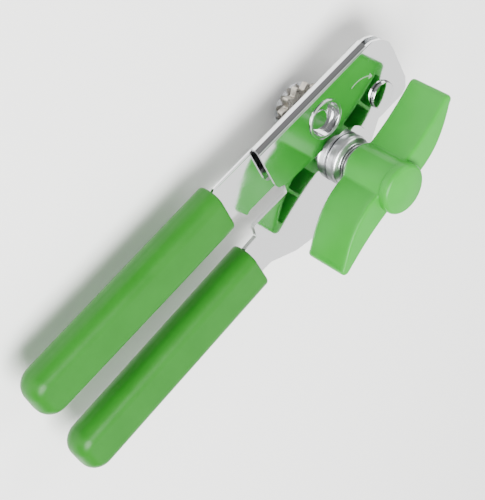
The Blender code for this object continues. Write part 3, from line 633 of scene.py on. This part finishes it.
# ---------------------------------------------------------------------------------------------
# CRANK SHAFT, WASHERS AND SCREW. The turned shaft carries the drive gear and feed wheel at its
# back end. A thrust, a spring and a collar washer in bright zinc show as rings under the knob.
# ---------------------------------------------------------------------------------------------
for name, node, outer, low, high in (
        ("thrust_ring", "thrust_washer", 8.3, 4.7, 5.6),
        ("spring_ring", "spring_washer", 8.0, 5.8, 6.6),
        ("collar_ring", "collar_washer", 7.7, 6.8, 7.9)):
    washer(name, SHAFT_HOLE_R, outer, low, high, crank_axis, "crank", node, 0.35)
# Chrome over a turned shaft, a little duller than the rivet from running in its bush.
shaft_chrome = turned_metal("turned_chrome_shaft", "D2D3D5", 0.08, 0.16, crank_axis, TOOL_PITCH, 0.0008)
shaft_low, shaft_high = height_span("crank_shaft")
shaft = turned("crank_shaft_turning", eased([
    (0.0, 8.6, 0), (1.8, 8.6, 0), (1.8, shaft_high, 0.1), (2.9, shaft_high, 0.3), (3.0, shaft_high - 3.0, 0),
    (3.0, shaft_low, 0.5), (0.0, shaft_low, 0)]), crank_axis, 96)
finish_piece(shaft, shaft_chrome, "crank", ["crank_shaft"])
screw_low, screw_high = height_span("knob_screw")
head_low = screw_high - 1.6
screw = turned("knob_screw_turning", eased([
    (0.0, screw_high, 0), (2.4, screw_high, 0.5), (3.4, screw_high - 0.9, 0.5), (3.4, head_low, 0.1),
    (1.5, head_low, 0), (1.5, screw_low, 0.3), (0.0, screw_low, 0)]), crank_axis, 64)
finish_piece(screw, zinc, "crank", ["knob_screw"])

# ---------------------------------------------------------------------------------------------
# KNOB AND CAP. One green moulding: a round hub with two curved thumb blades, hollow underneath
# between cross ribs. A domed cap snaps into the hub over the screw.
# ---------------------------------------------------------------------------------------------
HUB_R = 10.9
HUB_TOP = 29.6
KNOB_BOTTOM = 8.2
BLADE_BOTTOM = 8.6
BLADE_TOP = 29.2
BLADE_REACH = 41.8
BLADE_ROOT = 6.3
BLADE_TIP = 1.8
BLADE_BELLY = 6.0
BLADE_HOLLOW = 1.8
BLADE_TURN = radians(21.7)
KNOB_WALL = 1.4
KNOB_CELLS = ((11.9, 22.45), (23.95, 36.8))
KNOB_EDGE = 1.3
KNOB_GRAIN = 0.38

# Injection moulded ABS: satin green with the slight flow cloudiness of a cheap moulding, sink
# ripples some 9 mm long, and hairline scuffs from fingers.
hard_green, tree, shader, spot = start_material("moulded_abs_knob", "2E942B", 0.0, 0.3)
let_light_in(shader, 1.54, 0.2, 0.1, (0.5, 1.0, 0.4), 0.0012)
two_tone(tree, shader, vary(tree, spot, 12.0, 0.0, 1.0), "2C9029", "30962D")
tree.links.new(vary(tree, spot, 11.0, 0.28, 0.36, 1.0), shader.inputs["Roughness"])
ripple = relief(tree, shader, vary(tree, spot, 9.0, 0.0, 1.0, 0.0), 0.012)
relief(tree, shader, vary(tree, spot, 0.25, 0.0, 1.0, 2.0), 0.0015, ripple)


def blade_side(along, side):
    """Side of a blade at a distance from the axis: +1 the hollow side, -1 the full side."""
    u = along / BLADE_REACH
    base = BLADE_ROOT + (BLADE_TIP - BLADE_ROOT) * u
    if side > 0:
        return base - BLADE_HOLLOW * sin(pi * u)
    return -(base + BLADE_BELLY * sin(pi * u))


def blade_plan(turn):
    reach = BLADE_REACH - BLADE_TIP
    runs = [reach * i / 40 for i in range(41)]
    low = blade_side(reach, -1)
    high = blade_side(reach, 1)
    plan = [(x, blade_side(x, -1)) for x in runs]
    plan += arc((reach, (low + high) / 2), (high - low) / 2, -pi / 2, pi / 2, 20)[1:-1]
    plan += [(x, blade_side(x, 1)) for x in reversed(runs)]
    return [turn_about(p, (0, 0), turn) for p in plan]


def cell_plan(start, end, turn):
    runs = [start + (end - start) * i / 8 for i in range(9)]
    plan = [(x, blade_side(x, -1) + KNOB_WALL) for x in runs]
    plan += [(x, blade_side(x, 1) - KNOB_WALL) for x in reversed(runs)]
    return [turn_about(p, (0, 0), turn) for p in plan]


knob = turned("thumb_knob", eased([
    (0.0, HUB_TOP, 0), (HUB_R, HUB_TOP, 0.3), (HUB_R, KNOB_BOTTOM, 1.2), (0.0, KNOB_BOTTOM, 0)]),
    crank_axis, 128)
for turn in (BLADE_TURN, BLADE_TURN + pi):
    blade = blank("blade", [blade_plan(turn)], BLADE_BOTTOM, BLADE_TOP, crank_axis)
    round_edges(blade, KNOB_EDGE, 5, 40, clamp=False)
    apply_all(blade)
    cut(knob, blade, "UNION")
for turn in (BLADE_TURN, BLADE_TURN + pi):
    for start, end in KNOB_CELLS:
        cell = [cell_plan(start, end, turn)]
        cut(knob, blank("cell", cell, BLADE_BOTTOM - 1, BLADE_TOP - KNOB_WALL, crank_axis))
cut(knob, turned("bore", [
    (0.0, HUB_TOP + 1), (8.4, HUB_TOP + 1), (8.4, 24.1), (1.8, 24.1), (1.8, shaft_high + 0.3),
    (SHAFT_HOLE_R, shaft_high + 0.3), (SHAFT_HOLE_R, KNOB_BOTTOM - 1), (0.0, KNOB_BOTTOM - 1)],
    crank_axis, 96))
melt = knob.modifiers.new("moulded", "REMESH")
melt.mode = "VOXEL"
melt.voxel_size = KNOB_GRAIN
soften = knob.modifiers.new("soften", "SMOOTH")
soften.factor = 0.5
soften.iterations = 10
finish_piece(knob, hard_green, "crank", ["knob"], 180)

CAP_R = 11.2
CAP_SHOULDER = 2.0
CAP_CROWN = 1.1
CAP_STEPS = 12
cap_top = height_span("knob_cap")[1]
face_r = CAP_R - CAP_SHOULDER
cap_profile = [(face_r * i / CAP_STEPS, cap_top - CAP_CROWN * (i / CAP_STEPS) ** 2) for i in range(CAP_STEPS)]
cap_profile += arc((face_r, cap_top - CAP_CROWN - CAP_SHOULDER), CAP_SHOULDER, pi / 2, 0.0, CAP_STEPS)
cap_profile += [(CAP_R, HUB_TOP - 0.25), (CAP_R - 0.1, HUB_TOP - 0.35), (10.98, HUB_TOP - 0.3),
                (10.95, HUB_TOP + 0.1), (8.1, HUB_TOP + 0.12), (8.1, 26.5), (6.5, 26.5),
                (6.5, HUB_TOP + 0.3), (0.0, HUB_TOP + 0.3)]
cap = turned("knob_cap_dome", cap_profile, crank_axis, 128)
finish_piece(cap, hard_green, "crank", ["knob_cap"], 40)

# ---------------------------------------------------------------------------------------------
# GEARS. Two stamped spur gears with soft wave teeth: seventeen on the crank, twelve on the
# cutter. Each is drawn by one node tree from its tooth count and pitch circle.
# ---------------------------------------------------------------------------------------------
DRIVE_TEETH = 17
CUTTER_TEETH = 12
POINTS_PER_TOOTH = 20.0
TOOTH_WAVE = 1.25
GEAR_SLACK = 0.22
GEAR_THICK = 3.0
GEAR_BACK = -15.0
GEAR_BORE_R = 4.0
GEAR_EDGE = 0.3


def start_tree(name, wanted):
    """A geometry tree with named inputs, their identifiers, and the sockets that give them."""
    tree = bpy.data.node_groups.new(name, "GeometryNodeTree")
    identifiers = {}
    for label, kind in wanted.items():
        socket = tree.interface.new_socket(label, in_out="INPUT", socket_type="NodeSocket" + kind)
        identifiers[label] = socket.identifier
    tree.interface.new_socket("Geometry", in_out="OUTPUT", socket_type="NodeSocketGeometry")
    return tree, identifiers, tree.nodes.new("NodeGroupInput").outputs


def end_tree(tree, geometry, finish):
    """Make what the tree laid out real, give it its finish and hand it over."""
    real = add_node(tree, "GeometryNodeRealizeInstances", {"Geometry": geometry})
    painted = add_node(tree, "GeometryNodeSetMaterial", {"Geometry": real.outputs[0], "Material": finish})
    result = tree.nodes.new("NodeGroupOutput")
    tree.links.new(painted.outputs[0], result.inputs[0])


def maths(tree, operation, first, second=0.0, third=None):
    inputs = {0: first, 1: second}
    if third is not None:
        inputs[2] = third
    return add_node(tree, "ShaderNodeMath", inputs, operation=operation).outputs[0]


gear_tree, gear_inputs, given = start_tree("wave_gear", {
    "Teeth": "Int", "Pitch radius": "Float", "Wave": "Float", "Phase": "Float", "Thickness": "Float",
    "Finish": "Material"})
count = maths(gear_tree, "MULTIPLY", given["Teeth"], POINTS_PER_TOOTH)
rim = add_node(gear_tree, "GeometryNodeMeshCircle", {
    "Vertices": count, "Radius": given["Pitch radius"]}, fill_type="NGON")
spot = add_node(gear_tree, "GeometryNodeInputPosition", {}).outputs[0]
apart = add_node(gear_tree, "ShaderNodeSeparateXYZ", {0: spot})
angle = maths(gear_tree, "ARCTAN2", apart.outputs[1], apart.outputs[0])
angle = maths(gear_tree, "SUBTRACT", angle, given["Phase"])
wave = maths(gear_tree, "COSINE", maths(gear_tree, "MULTIPLY", angle, given["Teeth"]))
swing = maths(gear_tree, "DIVIDE", given["Wave"], given["Pitch radius"])
grow = maths(gear_tree, "MULTIPLY_ADD", wave, swing, 1.0)
place = add_node(gear_tree, "ShaderNodeVectorMath", {0: spot, "Scale": grow}, operation="SCALE")
shaped = add_node(gear_tree, "GeometryNodeSetPosition", {
    "Geometry": rim.outputs[0], "Position": place.outputs[0]})
thick = add_node(gear_tree, "GeometryNodeExtrudeMesh", {
    "Mesh": shaped.outputs[0], "Offset Scale": given["Thickness"], "Individual": False}, mode="FACES")
bottom = add_node(gear_tree, "GeometryNodeFlipFaces", {"Mesh": shaped.outputs[0]})
joined = add_node(gear_tree, "GeometryNodeJoinGeometry", {})
gear_tree.links.new(thick.outputs[0], joined.inputs[0])
gear_tree.links.new(bottom.outputs[0], joined.inputs[0])
welded = add_node(gear_tree, "GeometryNodeMergeByDistance", {
    "Geometry": joined.outputs[0], "Distance": 0.001})
end_tree(gear_tree, welded.outputs[0], given["Finish"])

# Nickel over stamped steel, tumbled: warm grey, worn soft, with a die-cut grain on its edges.
nickel, tree, shader, spot = start_material("tumbled_nickel_gear", "A9A49B", 1.0, 0.3)
two_tone(tree, shader, vary(tree, spot, 2.5, 0.0, 1.0), "97928A", "BBB6AC")
tree.links.new(vary(tree, spot, 1.5, 0.2, 0.42), shader.inputs["Roughness"])
relief(tree, shader, vary(tree, spot, 0.4, 0.0, 1.0), 0.012)


def made_by_nodes(name, tree_used, identifiers, values):
    ob = new_piece(name, bpy.data.meshes.new(name))
    mod = ob.modifiers.new("shape", "NODES")
    mod.node_group = tree_used
    for label, value in values.items():
        mod[identifiers[label]] = value
    apply_all(ob)
    return ob


centres = (cutter_axis - crank_axis).xy
towards = atan2(centres.y, centres.x)
for name, node, teeth, axis, phase, body in (
        ("drive_gear_stamping", "drive_gear", DRIVE_TEETH, crank_axis, towards, "crank"),
        ("cutter_gear_stamping", "cutter_gear", CUTTER_TEETH, cutter_axis,
         towards + pi + pi / CUTTER_TEETH, "cutter")):
    pitch = centres.length * teeth / (DRIVE_TEETH + CUTTER_TEETH) - GEAR_SLACK
    gear = made_by_nodes(name, gear_tree, gear_inputs, {
        "Teeth": teeth, "Pitch radius": pitch, "Wave": TOOTH_WAVE, "Phase": phase,
        "Thickness": GEAR_THICK, "Finish": nickel})
    gear.data.transform(Matrix.Translation((axis[0], axis[1], GEAR_BACK)))
    drill = [(0.0, 0.0), (GEAR_BORE_R, 0.0), (GEAR_BORE_R, -20.0), (0.0, -20.0)]
    cut(gear, turned("hole", drill, axis, 64))
    round_edges(gear, GEAR_EDGE, 3, 50)
    finish_piece(gear, nickel, body, [node])

# ---------------------------------------------------------------------------------------------
# CUTTING WHEEL AND ITS BUSH. A hardened steel disc ground to a bevelled edge, turning with the
# cutter gear on a bronze bush.
# ---------------------------------------------------------------------------------------------
WHEEL_BORE_R = 3.7


def radius_of(node):
    low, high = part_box(node)
    return (high[0] - low[0]) / 2 / MM


# Hardened steel straight from the grinder: plain grey, with grinding rings 0.2 mm apart.
ground_steel = turned_metal("ground_cutter_steel", "B4B5B8", 0.14, 0.26, cutter_axis, 0.2, 0.003)
wheel_low, wheel_high = height_span("cutter_wheel")
wheel_r = radius_of("cutter_wheel")
wheel = turned("cutting_wheel", eased([
    (WHEEL_BORE_R, wheel_high - 0.8, 0), (WHEEL_BORE_R, wheel_high, 0.1), (wheel_r - 3.0, wheel_high, 0.3),
    (wheel_r - 0.05, wheel_low + 0.45, 0.08), (wheel_r - 0.5, wheel_low, 0.2),
    (WHEEL_BORE_R, wheel_low, 0.1), (WHEEL_BORE_R, wheel_high - 0.8, 0)]), cutter_axis, 160)
finish_piece(wheel, ground_steel, "cutter", ["cutter_wheel"])
bush("cutter_bush_tube", "cutter_bush", AXLE_HOLE_R, 3.4, cutter_axis, "cutter")

# ---------------------------------------------------------------------------------------------
# FEED WHEEL AND NUT. A hardened wheel with saw teeth that grip and drive the can's rim, held on
# the crank shaft by a nut. Its teeth are laid round the rim by a node tree.
# ---------------------------------------------------------------------------------------------
SAW_TEETH = 32
SAW_WIDTH = 1.3
SAW_INSET = 1.32
SAW_SHORT = 0.3
RIM_INSET = 0.75
feed_low, feed_high = height_span("feed_wheel")
feed_r = radius_of("feed_wheel")
saw_tree, saw_inputs, given = start_tree("saw_teeth", {
    "Teeth": "Int", "Radius": "Float", "Width": "Float", "Height": "Float", "Finish": "Material"})
ring = add_node(saw_tree, "GeometryNodeMeshCircle", {
    "Vertices": given["Teeth"], "Radius": given["Radius"]}, fill_type="NONE")
wedge = add_node(saw_tree, "GeometryNodeMeshCylinder", {
    "Vertices": 3, "Side Segments": 1, "Radius": given["Width"], "Depth": given["Height"]}, fill_type="NGON")
spot = add_node(saw_tree, "GeometryNodeInputPosition", {}).outputs[0]
turn = add_node(saw_tree, "FunctionNodeAlignRotationToVector", {"Vector": spot}, axis="X")
laid = add_node(saw_tree, "GeometryNodeInstanceOnPoints", {
    "Points": ring.outputs[0], "Instance": wedge.outputs[0], "Rotation": turn.outputs[0]})
end_tree(saw_tree, laid.outputs[0], given["Finish"])

# Hardened steel, tempered and tumbled: duller than the cutter, with rings 0.25 mm apart.
feed_steel = turned_metal("hardened_feed_steel", "A6A7AA", 0.2, 0.34, crank_axis, 0.25, 0.003)
saw_ring = made_by_nodes("feed_wheel_teeth", saw_tree, saw_inputs, {
    "Teeth": SAW_TEETH, "Radius": feed_r - SAW_INSET, "Width": SAW_WIDTH,
    "Height": feed_high - feed_low - SAW_SHORT, "Finish": feed_steel})
saw_ring.data.transform(Matrix.Translation((crank_axis[0], crank_axis[1], (feed_low + feed_high) / 2)))
round_edges(saw_ring, 0.08, 1, 50)
finish_piece(saw_ring, feed_steel, "crank", [], 20)
rim_r = feed_r - RIM_INSET
feed = turned("feed_wheel_disc", eased([
    (SHAFT_HOLE_R, feed_low + 1.0, 0), (SHAFT_HOLE_R, feed_high, 0.1), (rim_r, feed_high, 0.2),
    (rim_r, feed_low, 0.2), (SHAFT_HOLE_R, feed_low, 0.1), (SHAFT_HOLE_R, feed_low + 1.0, 0)]),
    crank_axis, 128)
finish_piece(feed, feed_steel, "crank", ["feed_wheel"])
hex_nut("feed_hex_nut", "feed_nut", SHAFT_HOLE_R, 10.0, crank_axis, "crank")

# ---------------------------------------------------------------------------------------------
# STUDIO. A pale floor of matt white paper under a grey room that is bright on one side, with a large
# soft light overhead, a smaller one beside the head and a low one beside the grips.
# ---------------------------------------------------------------------------------------------
BRIGHT_WAY = (0.225, -0.755, 0.616)
FLOOR_HALF = 4
FLOOR_DROP = 0.0005
floor_mesh = bpy.data.meshes.new("floor")
floor_corners = [(x * FLOOR_HALF, y * FLOOR_HALF, 0) for x, y in ((-1, -1), (1, -1), (1, 1), (-1, 1))]
floor_mesh.from_pydata(floor_corners, [], [(0, 1, 2, 3)])
floor = new_piece("floor", floor_mesh)
floor.data.transform(Matrix.Translation((0, 0, cad_box[0][2] - FLOOR_DROP)))
paper, tree, shader, spot = start_material("matt_white_paper", "F7F7F5", 0.0, 0.85)
tree.links.new(vary(tree, spot, 300.0, 0.8, 0.92), shader.inputs["Roughness"])
floor.data.materials.append(paper)

world = bpy.data.worlds.new("studio")
bpy.context.scene.world = world
world.use_nodes = True
sky = world.node_tree
sky.nodes["Background"].inputs["Strength"].default_value = 1.0
way = add_node(sky, "ShaderNodeTexCoord", {}).outputs["Generated"]
across = add_node(sky, "ShaderNodeVectorMath", {0: way, 1: BRIGHT_WAY}, operation="DOT_PRODUCT")
glow = add_node(sky, "ShaderNodeValToRGB", {"Fac": across.outputs["Value"]})
stops = glow.color_ramp
stops.elements[0].position = 0.0
stops.elements[0].color = (0.28, 0.28, 0.28, 1)
stops.elements[1].position = 1.0
stops.elements[1].color = (1.9, 1.9, 1.88, 1)
for position, level in ((0.15, 0.28), (0.55, 0.25), (0.80, 0.22), (0.90, 1.75)):
    stop = stops.elements.new(position)
    stop.color = (level, level, level, 1)
sky.links.new(glow.outputs[0], sky.nodes["Background"].inputs["Color"])


def soft_light(name, size, energy, place, aim):
    data = bpy.data.lights.new(name, "AREA")
    data.shape = "RECTANGLE"
    data.size = size[0]
    data.size_y = size[1]
    data.energy = energy
    ob = bpy.data.objects.new(name, data)
    ob.location = place
    ob.rotation_euler = (Vector(aim) - Vector(place)).to_track_quat("-Z", "Y").to_euler()
    bpy.context.scene.collection.objects.link(ob)


soft_light("overhead_box", (0.9, 0.9), 62.0, (-0.55, 0.15, 1.25), (0.0, 0.0, 0.0))
soft_light("side_box", (0.5, 0.9), 7.0, (0.95, 0.35, 0.65), (0.0, 0.0, 0.0))
soft_light("fill_box", (0.7, 0.7), 5.0, (-0.95, 0.75, 0.35), (-0.08, 0.0, 0.0))

# The camera looks down from above the rolled spine and the grips, on a long lens.
camera_data = bpy.data.cameras.new("camera")
camera_data.sensor_width = 36.0
camera_data.lens = 114.78
camera_data.clip_start = 0.01
camera = bpy.data.objects.new("camera", camera_data)
camera.rotation_mode = "QUATERNION"
camera.rotation_quaternion = (0.846684, -0.3436, -0.272377, -0.301457)
camera.location = (-0.16178, 0.47545, 0.41695)
bpy.context.scene.collection.objects.link(camera)
bpy.context.scene.camera = camera
